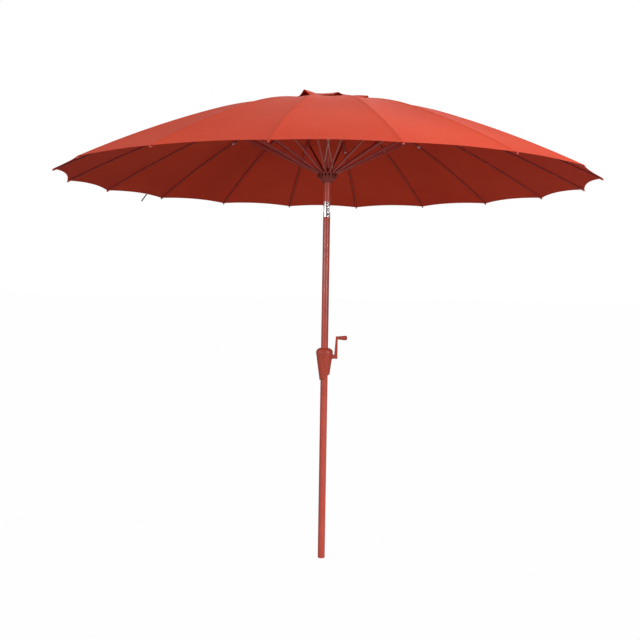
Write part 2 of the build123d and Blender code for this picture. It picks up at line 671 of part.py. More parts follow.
def band_faces(first, second):
    """Triangles between two closed rows of points."""
    count = len(first)
    faces = []
    for i in range(count):
        j = (i + 1) % count
        faces.append(Face(Wire.make_polygon([first[i], second[i], second[j]])))
        faces.append(Face(Wire.make_polygon([first[i], second[j], first[j]])))
    return faces


def tie_strap():
    """Short webbing tail that ties the closed canopy, leaning out from under the hem."""
    strap = Box(STRAP_THICK, STRAP_WIDTH, STRAP_LENGTH, align=(Align.CENTER, Align.CENTER, Align.MAX))
    placed = Pos(STRAP_ROOT[0], 0, STRAP_ROOT[1]) * Rot(0, -STRAP_LEAN, 0) * strap
    return turned(placed, STRAP_ANGLE)


# ---------------------------------------------------------------- all sub-parts


def main():
    os.makedirs("parts", exist_ok=True)
    export("lower_pole", lower_pole())
    export("foot_plug", foot_plug())
    export("pole_coupler", pole_coupler())
    export("middle_pole", middle_pole())
    shell = housing_shell()
    export("crank_housing_front", housing_half(shell, -1))
    export("crank_housing_back", housing_half(shell, 1))
    export("housing_screws", *housing_screws())
    export("tilt_socket", tilt_socket())
    export("tilt_pin", tilt_pin())
    export("tilt_button", tilt_button())
    export("crank_spool", crank_spool())
    export("crank_arm", crank_arm())
    export("crank_knob", crank_knob())
    export("pawl", pawl())
    export("tilt_swivel", tilt_swivel())
    export("upper_pole", upper_pole())
    export("top_hub", *top_hub())
    export("top_pulley", top_pulley())
    export("runner", runner())
    export("finial", finial())
    export("pull_cord", *pull_cord())
    export("canopy", *canopy())
    export("vent_cap", vent_cap())
    export("tie_strap", tie_strap())
    one_rib = rib()
    one_strut = strut()
    for number, angle in enumerate(RIB_ANGLES, start=1):
        export(f"rib_{number:02d}", *[turned(solid, angle) for solid in one_rib])
        export(f"strut_{number:02d}", *[turned(solid, angle) for solid in one_strut])


main()
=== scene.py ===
"""Patio umbrella: its cloth, cords and finishes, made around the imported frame. Metres, +Z up.

The cloth is one strip for each rib. A strip reaches half a panel to each side of its rib, so
that it can fold with that rib, and neighbouring strips meet along the middle of each panel.
"""

import json
import math

import bpy
import numpy as np
from mathutils import Matrix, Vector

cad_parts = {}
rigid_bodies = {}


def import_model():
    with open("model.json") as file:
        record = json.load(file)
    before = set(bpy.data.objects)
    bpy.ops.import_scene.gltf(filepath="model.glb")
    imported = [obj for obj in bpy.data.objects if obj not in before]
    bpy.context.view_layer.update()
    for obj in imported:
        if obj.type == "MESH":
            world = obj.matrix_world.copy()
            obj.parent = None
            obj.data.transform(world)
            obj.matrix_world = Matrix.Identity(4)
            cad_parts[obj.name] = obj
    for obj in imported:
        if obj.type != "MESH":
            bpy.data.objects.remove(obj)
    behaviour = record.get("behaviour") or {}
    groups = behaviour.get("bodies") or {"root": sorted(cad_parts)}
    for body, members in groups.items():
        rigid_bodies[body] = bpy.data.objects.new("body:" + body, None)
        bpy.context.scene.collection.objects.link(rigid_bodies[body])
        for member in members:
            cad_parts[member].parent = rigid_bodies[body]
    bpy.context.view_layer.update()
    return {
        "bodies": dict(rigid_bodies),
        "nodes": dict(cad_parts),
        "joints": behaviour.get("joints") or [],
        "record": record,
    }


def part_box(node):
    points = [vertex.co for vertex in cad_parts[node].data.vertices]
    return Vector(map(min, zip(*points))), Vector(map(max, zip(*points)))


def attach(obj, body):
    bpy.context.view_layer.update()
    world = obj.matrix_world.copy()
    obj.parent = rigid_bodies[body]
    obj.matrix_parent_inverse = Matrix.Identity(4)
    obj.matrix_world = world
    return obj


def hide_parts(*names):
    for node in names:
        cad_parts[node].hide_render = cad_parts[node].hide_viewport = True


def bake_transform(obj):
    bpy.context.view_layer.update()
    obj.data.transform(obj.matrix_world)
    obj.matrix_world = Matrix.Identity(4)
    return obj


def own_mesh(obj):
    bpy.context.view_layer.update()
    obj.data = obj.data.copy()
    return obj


bl_info = {
    "name": "Patio Umbrella",
    "version": (1, 0, 0),
    "blender": (4, 5, 0),
    "location": "View3D > Sidebar > Umbrella",
    "description": "Cloth, cords and finishes of a patio umbrella",
    "category": "Add Mesh",
}

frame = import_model()
NODES = frame["nodes"]
JOINTS = {joint["name"]: joint for joint in frame["joints"]}
RIBS = sorted(name for name in frame["bodies"] if name.startswith("rib_"))
HALF_PANEL = math.pi / len(RIBS)

STRIP_ROWS = 40  # rows of a strip between its vent hem and its outer hem
PANEL_SHARES = (0.08, 0.2, 0.35, 0.5, 0.65, 0.8, 0.92, 1.0)  # columns beyond the seam
VENT_ROWS = (0.0, 0.0015, 0.011, 0.0125)  # rows over the vent hem
SEAM_HALF = 0.0066  # half the width of the folded seam over a rib
SEAM_FALL = 0.0085  # distance from the rib at which the seam's step down ends
SEAM_ROWS = (0.0, 0.0012, 0.0028, 0.0045, SEAM_HALF, SEAM_FALL)
SEAM_RISE = 0.0007  # how much higher the cloth stands over a seam
HEM_RISE = 0.0006  # how much higher it stands over a hem
HEM_STEP = 0.001  # half the width of the step at a hem's inner edge
CREASE_HALF, CREASE_DEPTH = 0.0020, 0.0005  # the groove where two panels are joined
STITCH, STITCH_HALF = 0.0042, 0.0007  # pitch and half width of a row of stitches
SEAM_STITCH, HEM_STITCH = 0.0062, 0.0145  # distance of the stitches from rib and from hem
WEAVE = 0.0011  # pitch of the woven threads

CAP_LIFTS = np.array([0.012, 0.018, 0.016, 0.014, 0.018, 0.013, 0.017, 0.015, 0.030])
CAP_PEAK_HALF = math.radians(6.5)  # half the width of a corner's curl
CAP_PEAK_SHARE, CAP_SKIRT_SHARE = 0.68, 0.32  # how much of the lift each shape gives
CAP_COLUMNS = 24  # columns of the cap for each corner

CORD_ROUTES = {
    "pull_cord_right": (
        (0.035, -0.0193, 2.3813),
        (0.006, -0.02515, 2.222),
        (-0.023, -0.031, 2.0627),
    ),
    "pull_cord_left": (
        (-0.0342, -0.0207, 2.3813),
        (-0.0021, -0.02235, 2.222),
        (0.030, -0.024, 2.0627),
    ),
}
CORD_RADIUS = 0.0012
CORD_BRAID, CORD_RIDGE = 0.0016, 0.0003

STRAP_WIDTH, STRAP_LENGTH, STRAP_THICKNESS = 0.01, 0.061, 0.0014
STRAP_ANGLE = math.radians(148.2)  # place round the hem, from +X
STRAP_ROOT = 1.304  # distance of its root from the axis
STRAP_REACH = 0.0605  # straight distance from root to tip
STRAP_LEAN = math.radians(47.0)  # how far it swings out from straight down
STRAP_BOW = 0.0015
STRAP_TINT = (0.10, 0.02, 0.018)

FERRULE_OUT, FERRULE_HALF = 0.700, 0.0086  # the bright ferrule's place along a rib
TIP_OUT = 1.334  # where a rib's moulded tip begins
RIVET_OUT, RIVET_HEIGHT = 0.590, 2.2943  # joint of a strut and its rib at rest
FERRULE_TINT = (0.68, 0.60, 0.66)
RIVET_TINT = (0.70, 0.63, 0.68)
SCUFF_TINT = (0.5, 0.22, 0.18)

# Place, point aimed at, diameter and power in watts of each soft light.
LIGHTS = {
    "key": ((3.2, -3.8, 5.2), (0, 0, 1.8), 2.4, 390),
    "fill": ((-4.9, -2.2, 3.0), (0, 0, 2.0), 3.0, 60),
    "back": ((0.5, 4.5, 4.8), (0, 0, 2.0), 3.0, 120),
    "low_left": ((-2.3, -2.7, 1.6), (0, 0, 1.9), 0.9, 30),
    "low_right": ((2.3, -2.7, 1.6), (0, 0, 1.9), 0.9, 38),
}
SURROUND_LIGHT = 0.37  # strength of the surround on the object
FLOOR_GLOW = 0.99  # brightness of the floor to the camera
FLOOR_REACH = 40.0


def lengths(name, default, description, **more):
    return bpy.props.FloatProperty(
        name=name, default=default, description=description, unit="LENGTH", precision=4, **more
    )


def colour(name, default, description):
    return bpy.props.FloatVectorProperty(
        name=name, default=default, description=description, subtype="COLOR", size=3, min=0, max=1
    )


class UMBRELLA_PG_canopy(bpy.types.PropertyGroup):
    """Sizes of the main canopy"""

    rim_radius: lengths("Rim radius", 1.352, "From the pole's axis to the cloth's corner on a rib")
    rim_height: lengths("Rim height", 1.9887, "Height of the cloth's corners")
    rise: lengths("Rise", 0.4148, "From the rim up to the dome's top")
    inner_arc: lengths("Inner arc", 1.994, "Radius of the dome's arc round the top")
    bend_radius: lengths("Bend radius", 0.681, "Distance from the axis where the outer arc begins")
    vent_radius: lengths("Vent radius", 0.13, "Radius of the hole under the vent cap")
    thickness: lengths("Thickness", 0.0008, "Thickness of the cloth")
    hollow: lengths("Hem hollow", 0.022, "How far the hem curves in between two ribs")
    sag: lengths("Sag", 0.007, "How far the cloth hangs in between two ribs")
    hem: lengths("Hem width", 0.017, "Width of the folded hem")
    fold_keep: bpy.props.FloatProperty(
        name="Folded share", default=0.22, min=0.01, max=1, description="Width kept when folded"
    )


class UMBRELLA_PG_cap(bpy.types.PropertyGroup):
    """Sizes of the vent cap"""

    corner_radius: lengths("Corner radius", 0.252, "From the axis to the cap's corners")
    side_radius: lengths("Side radius", 0.234, "From the axis to the middle of the cap's sides")
    hole_radius: lengths("Hole radius", 0.007, "Hole for the finial's stem")
    centre_height: lengths("Centre height", 2.434, "Height of the cap round the stem")
    edge_gap: lengths("Edge gap", 0.009, "Height of the cap's edge over the canopy")
    thickness: lengths("Thickness", 0.0008, "Thickness of the cloth")


class UMBRELLA_PG_finish(bpy.types.PropertyGroup):
    """Colours of the finishes"""

    cloth: colour("Cloth", (0.60, 0.064, 0.025), "Main colour of the canopy cloth")
    cloth_deep: colour("Cloth, deep", (0.54, 0.050, 0.019), "Second colour in the cloth")
    light_through: colour("Light through", (0.62, 0.045, 0.02), "Colour of light through the cloth")
    paint: colour("Paint", (0.50, 0.070, 0.042), "Powder coat of the poles")
    casing: colour("Casing", (0.44, 0.058, 0.033), "Moulded crank casing")
    hub: colour("Hub", (0.22, 0.030, 0.022), "Moulded hub, runner and finial")
    rib: colour("Rib", (0.30, 0.028, 0.020), "Rib rods")
    strut: colour("Strut", (0.38, 0.045, 0.035), "Strut channels")
    cord: colour("Cord", (0.80, 0.72, 0.58), "Lifting cord")


class UMBRELLA_PG_stage(bpy.types.PropertyGroup):
    """Camera and light"""

    distance: lengths("Distance", 3.972, "Camera's distance in front of the pole")
    height: lengths("Height", 1.537, "Camera's height over the floor")
    lens: bpy.props.FloatProperty(name="Lens", default=42.34, description="Focal length in mm")
    pitch: bpy.props.FloatProperty(
        name="Pitch", default=math.radians(3.68), subtype="ANGLE", description="Downward tilt"
    )
    pan: bpy.props.FloatProperty(
        name="Pan", default=math.radians(0.38), subtype="ANGLE", description="Turn to the left"
    )
    roll: bpy.props.FloatProperty(
        name="Roll", default=math.radians(0.9), subtype="ANGLE", description="Roll of the camera"
    )


# ---------------------------------------------------------------- meshes


def smooth(x, low, high):
    """0 below low, 1 above high, and 3t^2 - 2t^3 between."""
    t = np.clip((x - low) / (high - low), 0.0, 1.0)
    return t * t * (3 - 2 * t)


def grid_faces(rows, cols, closed, flip):
    """Quads of a grid of points numbered row by row; closed joins the last column to the first."""
    r, c = np.meshgrid(np.arange(rows - 1), np.arange(cols - (not closed)), indexing="ij")
    d = (c + 1) % cols
    quads = np.stack([r * cols + c, (r + 1) * cols + c, (r + 1) * cols + d, r * cols + d], axis=-1)
    quads = quads.reshape(-1, 4)
    return quads[:, ::-1] if flip else quads


def surface_normals(points, closed):
    """Unit normals of a grid: the cross product of its two difference directions."""
    down = np.gradient(points, axis=0)
    if closed:
        across = np.roll(points, -1, axis=1) - np.roll(points, 1, axis=1)
    else:
        across = np.gradient(points, axis=1)
    normal = np.cross(down, across)
    return normal / np.maximum(np.linalg.norm(normal, axis=-1, keepdims=True), 1e-12)


def rim_faces(top, low):
    """Quads between two rows of point numbers."""
    return np.stack([top[:-1], top[1:], low[1:], low[:-1]], axis=-1)


def thick_sheet(points, thickness, closed):
    """Points and quads of a sheet: the grid, the same grid a thickness under it, and its edges.

    A closed grid joins its last column to its first, so it has no side edges.
    """
    rows, cols = points.shape[:2]
    under = points - surface_normals(points, closed) * thickness
    number = np.arange(rows * cols).reshape(rows, cols)
    if closed:
        number = np.concatenate([number, number[:, :1]], axis=1)
    below = number + rows * cols
    faces = [
        grid_faces(rows, cols, closed, False),
        grid_faces(rows, cols, closed, True) + rows * cols,
        rim_faces(number[0], below[0]),
        rim_faces(below[-1], number[-1]),
    ]
    if not closed:
        faces.append(rim_faces(below[:, 0], number[:, 0]))
        faces.append(rim_faces(number[:, -1], below[:, -1]))
    both = np.concatenate([points.reshape(-1, 3), under.reshape(-1, 3)])
    return both, np.concatenate(faces).tolist()


def mesh_object(name, points, faces, uv, sharp=math.radians(35)):
    """A smooth-shaded mesh object at the origin, with one UV pair for each point, in metres."""
    mesh = bpy.data.meshes.new(name)
    mesh.from_pydata(points.tolist(), [], faces)
    mesh.update()
    corner = np.empty(len(mesh.loops), np.int32)
    mesh.loops.foreach_get("vertex_index", corner)
    layer = mesh.uv_layers.new(name="Sewn")
    layer.data.foreach_set("uv", uv[corner].astype(np.float32).ravel())
    mesh.polygons.foreach_set("use_smooth", np.ones(len(mesh.polygons), bool))
    mesh.set_sharp_from_angle(angle=sharp)
    made = bpy.data.objects.new(name, mesh)
    bpy.context.scene.collection.objects.link(made)
    return made


# ---------------------------------------------------------------- materials


class Finish:
    """One procedural material: a Principled shader and the nodes that feed it."""

    def __init__(self, name, **constants):
        self.material = bpy.data.materials.new(name)
        self.material.use_nodes = True
        self.tree = self.material.node_tree
        self.tree.nodes.clear()
        self.out = self.tree.nodes.new("ShaderNodeOutputMaterial")
        self.shader = self.tree.nodes.new("ShaderNodeBsdfPrincipled")
        self.tree.links.new(self.shader.outputs[0], self.out.inputs["Surface"])
        for socket, value in constants.items():
            self.shader.inputs[socket.replace("_", " ")].default_value = value

    def node(self, kind, *inputs, **settings):
        """A node with its settings, and with its inputs linked or set in order."""
        made = self.tree.nodes.new("ShaderNode" + kind)
        for key, value in settings.items():
            setattr(made, key, value)
        for socket, value in zip(made.inputs, inputs):
            self.feed(socket, value)
        return made

    def feed(self, socket, value):
        if isinstance(value, bpy.types.NodeSocket):
            self.tree.links.new(value, socket)
        elif value is not None:
            socket.default_value = value

    def math(self, operation, *inputs):
        return self.node("Math", *inputs, operation=operation).outputs[0]

    def place(self):
        """The piece's own coordinates in metres."""
        return self.node("TexCoord").outputs["Object"]

    def noise(self, scale, detail=3.0, vector=None, roughness=0.5):
        made = self.node("TexNoise")
        self.feed(made.inputs["Vector"], vector or self.place())
        made.inputs["Scale"].default_value = scale
        made.inputs["Detail"].default_value = detail
        made.inputs["Roughness"].default_value = roughness
        return made.outputs["Fac"]

    def spread(self, value, low, high, to_low=0.0, to_high=1.0):
        """A value carried from one range to another, clamped."""
        made = self.node("MapRange", value, low, high, to_low, to_high)
        made.clamp = True
        return made.outputs[0]

    def mix(self, share, first, second):
        """Two colours mixed."""
        made = self.node("Mix", data_type="RGBA")
        self.feed(made.inputs[0], share)
        for socket, value in ((made.inputs[6], first), (made.inputs[7], second)):
            plain = not isinstance(value, bpy.types.NodeSocket)
            self.feed(socket, (*value, 1.0) if plain and len(value) == 3 else value)
        return made.outputs[2]

    def bump(self, height, strength, distance, normal=None):
        made = self.node("Bump")
        made.inputs["Strength"].default_value = strength
        made.inputs["Distance"].default_value = distance
        self.feed(made.inputs["Height"], height)
        if normal is not None:
            self.feed(made.inputs["Normal"], normal)
        return made.outputs[0]

    def set(self, socket, value):
        self.feed(self.shader.inputs[socket], value)


def line_of(finish, distance, centre, half):
    """1 within half of a centre distance, 0 further off."""
    off = finish.math("ABSOLUTE", finish.math("SUBTRACT", distance, centre))
    return finish.spread(off, half * 0.6, half * 1.4, 1.0, 0.0)


def ripple(finish, along, pitch):
    """A sine of a coordinate, one wave for each pitch."""
    return finish.math("SINE", finish.math("MULTIPLY", along, 2 * math.pi / pitch))


def shaded(tint, share):
    """A colour at a share of its brightness; a share over 1 makes it brighter."""
    return tuple(part * share for part in tint)


def stitches(finish, across, along, centre):
    """Sewn stitches: a line at a distance, broken into dashes along the other coordinate."""
    wave = ripple(finish, along, STITCH)
    dash = finish.spread(wave, -0.75, -0.35)
    return finish.math("MULTIPLY", line_of(finish, across, centre, STITCH_HALF), dash)


def cloth_finish(name, base, deep, through, seams):
    """Woven polyester: colour drift, threads, sewn seams and hem, painted shade along the crease
    over each rib, and light that comes through.
    """
    made = Finish(
        name, Roughness=0.78, Sheen_Weight=0.03, Sheen_Roughness=0.4, Specular_IOR_Level=0.12
    )
    sewn = made.node("UVMap", uv_map="Sewn").outputs[0]
    split = made.node("SeparateXYZ", sewn)
    side, from_hem = split.outputs[0], split.outputs[1]
    away = made.math("ABSOLUTE", side)
    drift = made.spread(made.noise(2.3, 4.0), 0.3, 0.7)
    tint = made.mix(drift, base, deep)
    slub = made.spread(made.noise(420.0, 2.0), 0.35, 0.65)
    tint = made.mix(made.math("MULTIPLY", slub, 0.12), tint, shaded(deep, 0.72))
    thread = stitches(made, from_hem, side, HEM_STITCH)
    if seams:
        seam = stitches(made, away, from_hem, SEAM_STITCH)
        thread = made.math("MAXIMUM", thread, seam)
        # painted shade: a thin dark line along the groove over each rib
        crease_shade = line_of(made, away, 0.0, 0.0012)
        tint = made.mix(made.math("MULTIPLY", crease_shade, 0.35), tint, shaded(deep, 0.5))
    tint = made.mix(made.math("MULTIPLY", thread, 0.45), tint, shaded(deep, 0.45))
    made.set("Base Color", tint)
    made.set("Roughness", made.spread(made.noise(60.0, 3.0), 0.3, 0.7, 0.72, 0.86))
    weave = made.math("MULTIPLY", ripple(made, side, WEAVE), ripple(made, from_hem, WEAVE))
    normal = made.bump(weave, 0.25, 0.00012)
    pucker = made.noise(34.0, 3.0)
    normal = made.bump(pucker, 0.25, 0.0012, normal)
    normal = made.bump(made.math("MULTIPLY", thread, -1.0), 0.8, 0.0005, normal)
    made.set("Normal", normal)
    glow = made.node("BsdfTranslucent")
    made.feed(glow.inputs["Color"], (*through, 1.0))
    made.feed(glow.inputs["Normal"], normal)
    both = made.node("MixShader", 0.30)
    made.feed(both.inputs[1], made.shader.outputs[0])
    made.feed(both.inputs[2], glow.outputs[0])
    made.tree.links.new(both.outputs[0], made.out.inputs["Surface"])
    return made.material


def paint_finish(name, base, roughness=0.36, grain=700.0):
    """Powder coat: a fine pebbled skin with slow colour drift and rubbed patches."""
    made = Finish(name, Metallic=0.0, Coat_Weight=0.25, Coat_Roughness=0.22)
    drift = made.spread(made.noise(9.0, 4.0), 0.3, 0.7)
    made.set("Base Color", made.mix(drift, base, shaded(base, 0.82)))
    rub = made.spread(made.noise(38.0, 5.0), 0.35, 0.75, roughness - 0.06, roughness + 0.12)
    made.set("Roughness", rub)
    made.set("Normal", made.bump(made.noise(grain, 2.0), 0.22, 0.0002))
    return made.material


def moulded_finish(name, base, roughness=0.5, grain=1300.0, spec=0.4):
    """Moulded plastic: spark-eroded texture, faint flow marks, small scuffs."""
    made = Finish(name, Specular_IOR_Level=spec)
    drift = made.spread(made.noise(22.0, 3.0), 0.3, 0.7)
    tint = made.mix(drift, base, shaded(base, 0.86))
    scuff = made.spread(made.noise(160.0, 6.0, roughness=0.7), 0.62, 0.78)
    made.set("Base Color", made.mix(made.math("MULTIPLY", scuff, 0.25), tint, SCUFF_TINT))
    worn = made.spread(made.noise(70.0, 4.0), 0.3, 0.7, roughness - 0.07, roughness + 0.1)
    made.set("Roughness", worn)
    made.set("Normal", made.bump(made.noise(grain, 2.0), 0.28, 0.00025))
    return made.material


def steel_finish(name, base, roughness, brushed):
    """Bare metal with a drawn grain and finger smudges."""
    made = Finish(name, Metallic=1.0)
    stretch = made.node("Mapping", made.place())
    stretch.inputs["Scale"].default_value = (1.0, 1.0, brushed)
    grain = made.noise(260.0, 3.0, stretch.outputs[0])
    made.set("Base Color", made.mix(made.spread(grain, 0.3, 0.7), base, shaded(base, 0.8)))
    smudge = made.noise(45.0, 4.0)
    made.set("Roughness", made.spread(smudge, 0.3, 0.75, roughness, roughness + 0.16))
    made.set("Normal", made.bump(grain, 0.08, 0.0001))
    return made.material


def radial_parts(finish):
    """Distance from the pole's axis, and height, of a point of a rib or strut at rest."""
    split = finish.node("SeparateXYZ", finish.place())
    x, y, z = split.outputs[0], split.outputs[1], split.outputs[2]
    square = finish.math("ADD", finish.math("MULTIPLY", x, x), finish.math("MULTIPLY", y, y))
    return finish.math("SQRT", square), z


def rib_finish(name, base, ferrule, tip):
    """Coated rod, with a bright ferrule at one distance from the axis and a moulded tip."""
    made = Finish(name, Specular_IOR_Level=0.5)
    out, _ = radial_parts(made)
    ring = line_of(made, out, ferrule, FERRULE_HALF)
    end = made.spread(out, tip - 0.0005, tip + 0.0005)
    drift = made.spread(made.noise(30.0, 4.0), 0.3, 0.7)
    tint = made.mix(drift, base, shaded(base, 0.75))
    tint = made.mix(end, tint, shaded(base, 1.3))
    made.set("Base Color", made.mix(ring, tint, FERRULE_TINT))
    made.set("Metallic", made.math("MULTIPLY", ring, 0.9))
    made.set("Roughness", made.spread(made.noise(90.0, 3.0), 0.3, 0.7, 0.32, 0.5))
    made.set("Normal", made.bump(made.noise(500.0, 2.0), 0.15, 0.0002))
    return made.material


def strut_finish(name, base, joint_out, joint_height):
    """Painted channel with a bright rivet round the joint to its rib."""
    made = Finish(name, Specular_IOR_Level=0.5, Coat_Weight=0.2, Coat_Roughness=0.25)
    out, height = radial_parts(made)
    across = made.math("SUBTRACT", out, joint_out)
    up = made.math("SUBTRACT", height, joint_height)
    square = made.math("ADD", made.math("MULTIPLY", across, across), made.math("MULTIPLY", up, up))
    rivet = made.spread(made.math("SQRT", square), 0.0036, 0.0040, 1.0, 0.0)
    drift = made.spread(made.noise(25.0, 4.0), 0.3, 0.7)
    tint = made.mix(drift, base, shaded(base, 0.8))
    made.set("Base Color", made.mix(rivet, tint, RIVET_TINT))
    made.set("Metallic", made.math("MULTIPLY", rivet, 0.9))
    made.set("Roughness", made.spread(made.noise(80.0, 4.0), 0.3, 0.7, 0.3, 0.46))
    made.set("Normal", made.bump(made.noise(650.0, 2.0), 0.2, 0.0002))
    return made.material


def braid_finish(name, base, pitch, ridge):
    """Braided or woven cord: two crossing sets of ridges on the piece's own UV, in metres, with
    painted shade in the grooves between the ridges.
    """
    made = Finish(name, Roughness=0.85, Sheen_Weight=0.2)
    split = made.node("SeparateXYZ", made.node("UVMap", uv_map="Sewn").outputs[0])
    one = made.math("ADD", split.outputs[0], split.outputs[1])
    two = made.math("SUBTRACT", split.outputs[0], split.outputs[1])
    braid = made.math("MULTIPLY", ripple(made, one, pitch), ripple(made, two, pitch))
    # painted shade: the braid is darker in its grooves, where the bump is low
    groove_shade = made.spread(braid, -0.6, 0.6)
    made.set("Base Color", made.mix(groove_shade, shaded(base, 0.7), base))
    made.set("Roughness", made.spread(made.noise(300.0, 2.0), 0.3, 0.7, 0.75, 0.92))
    made.set("Normal", made.bump(braid, 0.6, ridge))
    return made.material


# ---------------------------------------------------------------- main canopy


def dome_height(out, size):
    """Height of the cloth over a rib at a distance from the axis.

    Two arcs in the rib's plane, tangent at the bend: the inner one is centred on the axis, and
    the outer one starts along its tangent and ends at the rim.
    """
    lean = math.asin(size.bend_radius / size.inner_arc)
    centre = size.rim_height + size.rise - size.inner_arc
    bend = centre + size.inner_arc * math.cos(lean)
    run, drop = size.rim_radius - size.bend_radius, bend - size.rim_height
    outer = (run**2 + drop**2) / (2 * (drop * math.cos(lean) - run * math.sin(lean)))
    middle = size.bend_radius - outer * math.sin(lean)
    height = bend - outer * math.cos(lean)
    inner_part = centre + np.sqrt(np.maximum(size.inner_arc**2 - out**2, 0))
    outer_part = height + np.sqrt(np.maximum(outer**2 - (out - middle) ** 2, 0))
    return np.where(out <= size.bend_radius, inner_part, outer_part)


def strip_columns(width):
    """Distances to the side of the rib: close rows over the seam, then even shares of the rest."""
    near = np.broadcast_to(SEAM_ROWS, (*width.shape, len(SEAM_ROWS)))
    far = SEAM_FALL + (width[..., None] - SEAM_FALL) * np.array(PANEL_SHARES)
    half = np.concatenate([near, far], axis=-1)
    return np.concatenate([-half[..., :0:-1], half], axis=-1)


def canopy_strip(size, out_way, side_way):
    """Grid over one rib and half a panel to each side, and its UV pairs.

    Across the strip the cloth follows the straight line from the rib to the middle of the panel,
    less a sag that is a parabola over the whole panel. Along it the distance from the axis runs
    from the vent to the hem, and the hem is hollowed by a parabola between the ribs. Over the
    seam and the hem the cloth is folded, so it stands a little higher there.
    """
    start = size.vent_radius + np.array(VENT_ROWS)
    middle = np.linspace(0.0, 1.0, STRIP_ROWS)[1:-1]
    inner_edge = (size.hem + 0.004, size.hem + HEM_STEP, size.hem - HEM_STEP)
    end = np.array([*inner_edge, 0.006, 0.0015, 0.0])
    last, first = size.rim_radius - end[0], start[-1]
    level = np.concatenate([start, first + (last - first) * middle, size.rim_radius - end])
    sine = math.sin(HALF_PANEL)
    width = level * math.cos(HALF_PANEL) * sine
    side = strip_columns(width)
    share = np.abs(side) / width[:, None]
    spare = size.hollow * share * (2 - share) / math.cos(HALF_PANEL)
    pull = smooth(level, size.vent_radius, size.rim_radius)[:, None]
    out = level[:, None] - spare * pull
    along = out - share * out * sine**2
    side = side * out / level[:, None]
    x = (level - size.vent_radius) / (size.rim_radius - size.vent_radius)
    sag = size.sag * (4 * x * (1 - x) + 0.25 * x)[:, None] * share * (2 - share)
    to_hem = size.rim_radius - level
    folded = HEM_RISE * (1 - smooth(to_hem, size.hem - HEM_STEP, size.hem + HEM_STEP))[:, None]
    seam = SEAM_RISE * (1 - smooth(np.abs(side), SEAM_HALF, SEAM_FALL))
    crest = -CREASE_DEPTH * (1 - smooth(np.abs(side), 0.0, CREASE_HALF))
    height = dome_height(out, size) - sag + np.maximum(folded, seam) + crest
    points = (
        along[..., None] * np.array(out_way)
        + side[..., None] * np.array(side_way)
        + height[..., None] * np.array([0.0, 0.0, 1.0])
    )
    drop = np.gradient(dome_height(level, size), level)
    slant = np.sqrt(1 + drop**2)
    steps = np.diff(level) * (slant[:-1] + slant[1:]) / 2
    from_hem = np.concatenate([[0.0], np.cumsum(steps[::-1])])[::-1]
    uv = np.stack([side, np.broadcast_to(from_hem[:, None], side.shape)], axis=-1)
    return points, uv


class UMBRELLA_OT_canopy(bpy.types.Operator):
    """Make the main canopy: one strip of cloth for each rib, sewn on the rib and hemmed"""

    bl_idname = "umbrella.canopy"
    bl_label = "Canopy"

    def execute(self, context):
        size, finish = context.scene.umbrella_canopy, context.scene.umbrella_finish
        cloth = cloth_finish(
            "canopy_cloth", finish.cloth, finish.cloth_deep, finish.light_through, True
        )
        for rib in RIBS:
            joint = JOINTS[f"{rib}_fold"]
            side_way = np.array(joint["axis"])
            out_way = np.array([side_way[1], -side_way[0], 0.0])
            points, uv = canopy_strip(size, out_way, side_way)
            vertices, faces = thick_sheet(points, size.thickness, False)
            name = rib.replace("rib", "canopy_strip")
            both = np.concatenate([uv.reshape(-1, 2)] * 2)
            strip = mesh_object(name, vertices, faces, both)
            strip.data.materials.append(cloth)
            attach(strip, rib)
            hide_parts("canopy")
            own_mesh(strip)
        return {"FINISHED"}


# ---------------------------------------------------------------- vent cap


class UMBRELLA_OT_vent_cap(bpy.types.Operator):
    """Make the vent cap: a shallow cone of cloth with nine corners that curl up"""

    bl_idname = "umbrella.vent_cap"
    bl_label = "Vent Cap"

    def execute(self, context):
        size, cap = context.scene.umbrella_canopy, context.scene.umbrella_cap
        finish = context.scene.umbrella_finish
        points, uv = cap_surface(size, cap)
        vertices, faces = thick_sheet(points, cap.thickness, True)
        both = np.concatenate([uv.reshape(-1, 2)] * 2)
        made = mesh_object("vent_cap_cloth", vertices, faces, both)
        made.data.materials.append(
            cloth_finish("cap_cloth", finish.cloth, finish.cloth_deep, finish.light_through, False)
        )
        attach(made, "head")
        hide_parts("vent_cap")
        return {"FINISHED"}


def cap_surface(size, cap):
    """Grid of the vent cap, by share of the way out and by angle.

    The edge's radius swings between the corners and the sides. Height falls from the centre to
    the edge with the cube of the share. Each corner adds its lift times the cube of the share
    times a shape over the angle: a narrow peak on a wide low skirt.
    """
    first = np.array(JOINTS[f"{RIBS[0]}_fold"]["axis"])
    start = math.atan2(-first[0], first[1])
    corners = len(CAP_LIFTS)
    step = 2 * math.pi / corners
    turn = np.arange(corners * CAP_COLUMNS) * step / CAP_COLUMNS
    near = (turn + step / 2) % step - step / 2
    corner = (np.round(turn / step) % corners).astype(int)
    peak = np.maximum(0.0, 1 - np.abs(near) / CAP_PEAK_HALF) ** 1.15
    skirt = (1 - np.abs(near) / (step / 2)) ** 2
    lift = CAP_LIFTS[corner] * (CAP_PEAK_SHARE * peak + CAP_SKIRT_SHARE * skirt)
    swing = (np.abs(near) / (step / 2)) ** 0.8
    edge = cap.corner_radius + (cap.side_radius - cap.corner_radius) * swing
    hem_start, hem_end = 0.925, 0.935
    rows = [*np.linspace(0, 0.9, 22), hem_start, hem_end, 0.96, 0.99, 1.0]
    share = np.array(rows)[:, None]
    radius = cap.hole_radius + (edge - cap.hole_radius) * share
    foot = dome_height(edge, size) + cap.edge_gap
    height = cap.centre_height + (foot - cap.centre_height + lift) * share**3
    height = height + HEM_RISE * smooth(share, hem_start, hem_end)
    angle = start + turn
    points = np.stack([radius * np.cos(angle), radius * np.sin(angle), height], axis=-1)
    round_edge = np.broadcast_to(turn * cap.corner_radius, radius.shape)
    uv = np.stack([round_edge, edge - radius], axis=-1)
    return points, uv


# ---------------------------------------------------------------- cords and strap


